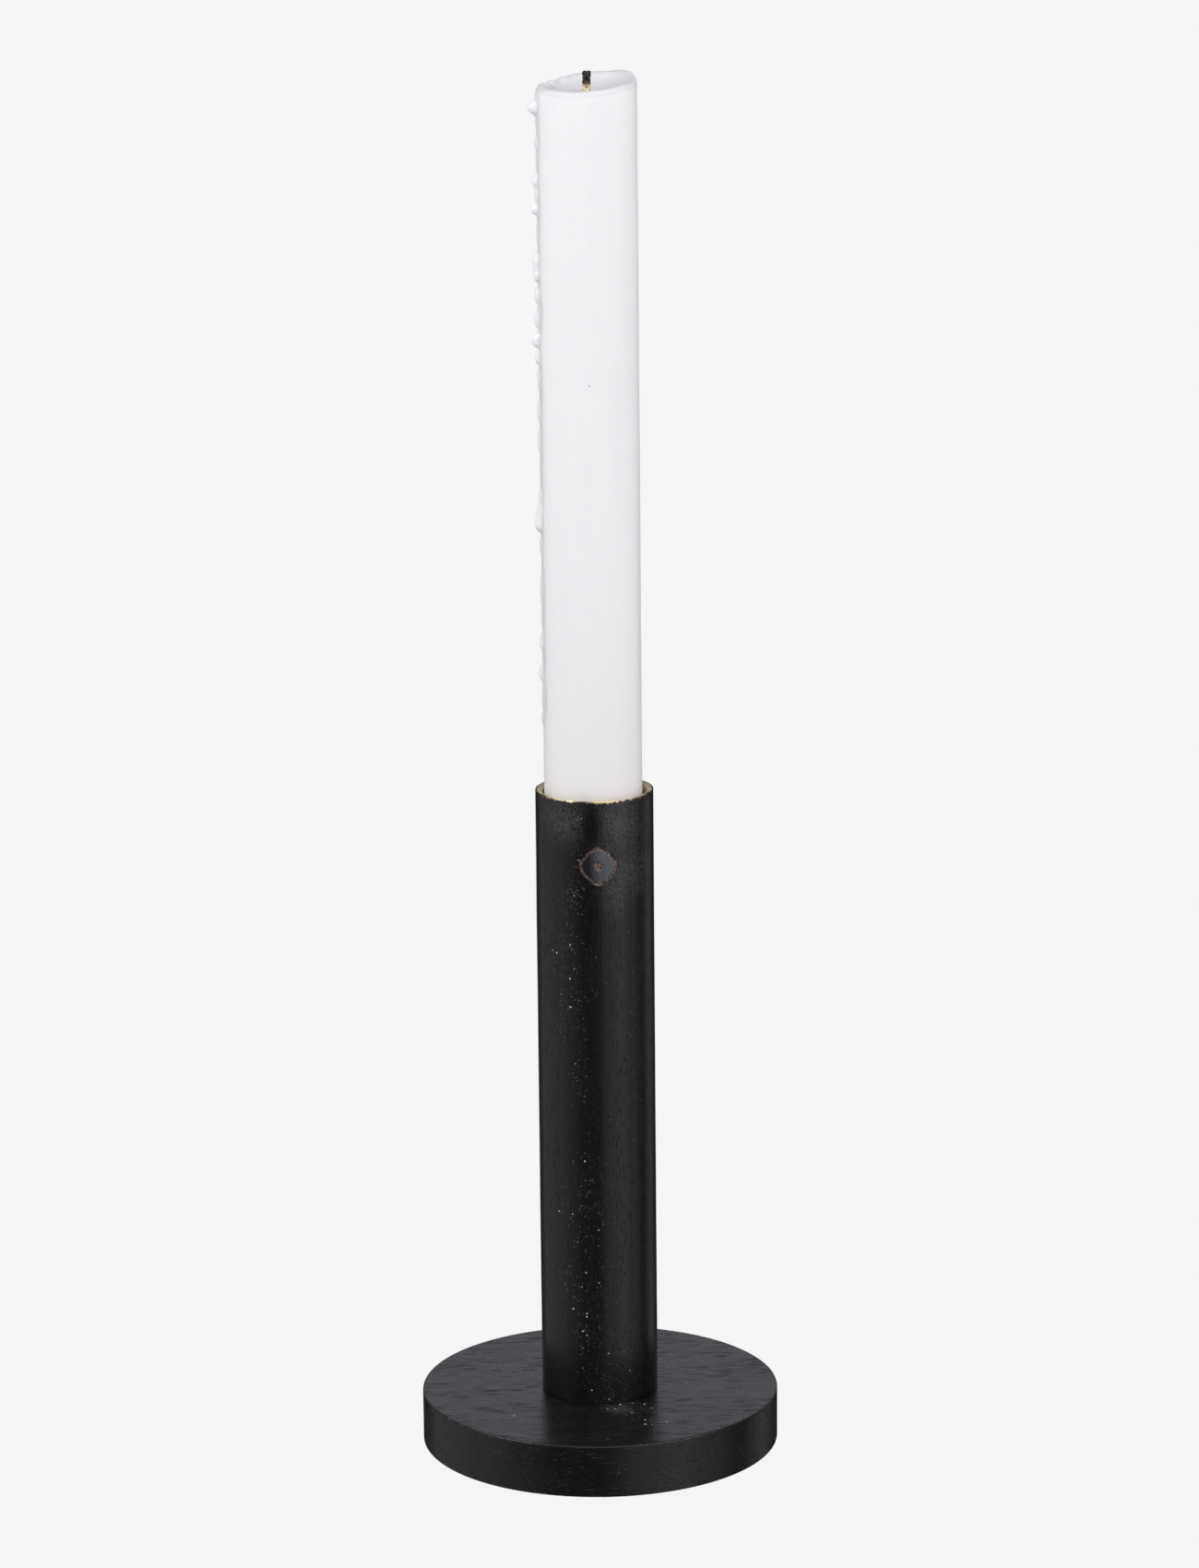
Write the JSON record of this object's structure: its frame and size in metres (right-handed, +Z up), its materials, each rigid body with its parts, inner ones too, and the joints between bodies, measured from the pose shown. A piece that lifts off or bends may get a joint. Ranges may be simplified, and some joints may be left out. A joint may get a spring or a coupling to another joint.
{
  "type": "wooden candlestick",
  "caption": "Slim turned wooden candlestick: a plain round column on a flat disc base, with a brass-lined socket holding a part-burnt dinner candle.",
  "frame": {"origin": "centre of the felt's underside, on the surface the candlestick stands on", "axes": "+Z up along the stem and candle; -Y to the front, where the burnt mark is; +X to the right, away from the run of set wax"},
  "size_m": [0.08, 0.08, 0.3089],
  "materials": {
    "black_wood": "satin",
    "brass": "satin",
    "steel": "satin",
    "felt": "matte",
    "wax": "satin",
    "wick_cotton": "matte"
  },
  "bodies": {
    "candlestick": {"felt_pad": "felt", "base_disc": "black_wood", "foot_screw": "steel", "foot_washer": "steel", "stem": "black_wood", "candle_cup": "brass", "cup_screw": "brass"},
    "loose_candle": {"candle": "wax", "wick": "wick_cotton", "wax_run": "wax"}
  },
  "joints": [
    {"name": "candle_lift", "type": "slide", "parent": "candlestick", "child": "loose_candle", "axis": [0, 0, 1], "range_m": [0, 0.03]}
  ]
}
